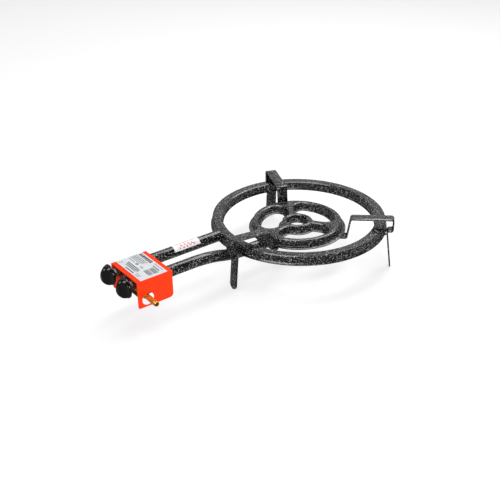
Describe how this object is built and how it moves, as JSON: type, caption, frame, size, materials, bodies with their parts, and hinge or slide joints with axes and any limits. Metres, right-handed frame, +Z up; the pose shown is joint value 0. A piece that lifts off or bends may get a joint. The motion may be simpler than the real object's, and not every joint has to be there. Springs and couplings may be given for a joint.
{
  "type": "two-ring gas burner stand",
  "caption": "Low outdoor gas burner: two concentric ring burners on three bent-strip pan supports with legs, fed by mixing tubes from taps under a folded cover.",
  "frame": {"origin": "on the ground under the middle of the bounding box", "axes": "+X from the knobs to the rings along the mixing tubes, +Y to the side away from the hose nozzle, +Z up"},
  "size_m": [0.6844, 0.4074, 0.1225],
  "materials": {
    "enamel": "black vitreous enamel with fine pale specks, semi-gloss",
    "powder_coat": "orange-red powder coat, satin",
    "steel": "zinc-plated steel",
    "brass": "machined brass, polished",
    "plated": "dull nickel-plated brass of the tap bodies and gland nuts",
    "bakelite": "glossy black moulded plastic",
    "fibre": "red fibre gasket",
    "foil": "printed pale foil sticker"
  },
  "bodies": {
    "stand": {"control_cover": "powder_coat", "gas_rail": "brass", "hose_nozzle": "brass", "inner_burner_base": "enamel", "inner_burner_hood": "enamel", "inner_injector": "brass", "inner_mixing_tube": "enamel", "inner_tap_body": "plated", "inner_tap_gland": "plated", "nozzle_washer": "fibre", "outer_injector": "brass", "outer_mixing_tube": "enamel", "outer_ring_base": "enamel", "outer_ring_hood": "enamel", "outer_tap_body": "plated", "outer_tap_gland": "plated", "pan_support_back": "enamel", "pan_support_front": "enamel", "pan_support_right": "enamel", "rail_end_plug": "brass", "rail_screw_back": "steel", "rail_screw_front": "steel", "rating_label": "foil", "tube_label": "foil", "tube_plate": "steel"},
    "outer_plug": {"outer_tap_plug": "brass"},
    "outer_handle": {"outer_knob": "bakelite", "outer_tap_stem": "steel", "outer_tap_spring": "steel"},
    "inner_plug": {"inner_tap_plug": "brass"},
    "inner_handle": {"inner_knob": "bakelite", "inner_tap_stem": "steel", "inner_tap_spring": "steel"}
  },
  "joints": [
    {"name": "outer_tap_turn", "type": "hinge", "parent": "stand", "child": "outer_plug", "pos_m": [-0.29875, 0.03883, 0.0955], "axis": [-1, 0, 0], "range_deg": [0, 180]},
    {"name": "outer_knob_push", "type": "slide", "parent": "outer_plug", "child": "outer_handle", "axis": [1, 0, 0], "range_m": [0, 0.0025], "stiffness_N_per_m": 800, "springref_m": -0.002, "deforming": ["outer_tap_spring"]},
    {"name": "inner_tap_turn", "type": "hinge", "parent": "stand", "child": "inner_plug", "pos_m": [-0.29875, -0.02417, 0.0955], "axis": [-1, 0, 0], "range_deg": [0, 180]},
    {"name": "inner_knob_push", "type": "slide", "parent": "inner_plug", "child": "inner_handle", "axis": [1, 0, 0], "range_m": [0, 0.0025], "stiffness_N_per_m": 800, "springref_m": -0.002, "deforming": ["inner_tap_spring"]}
  ]
}
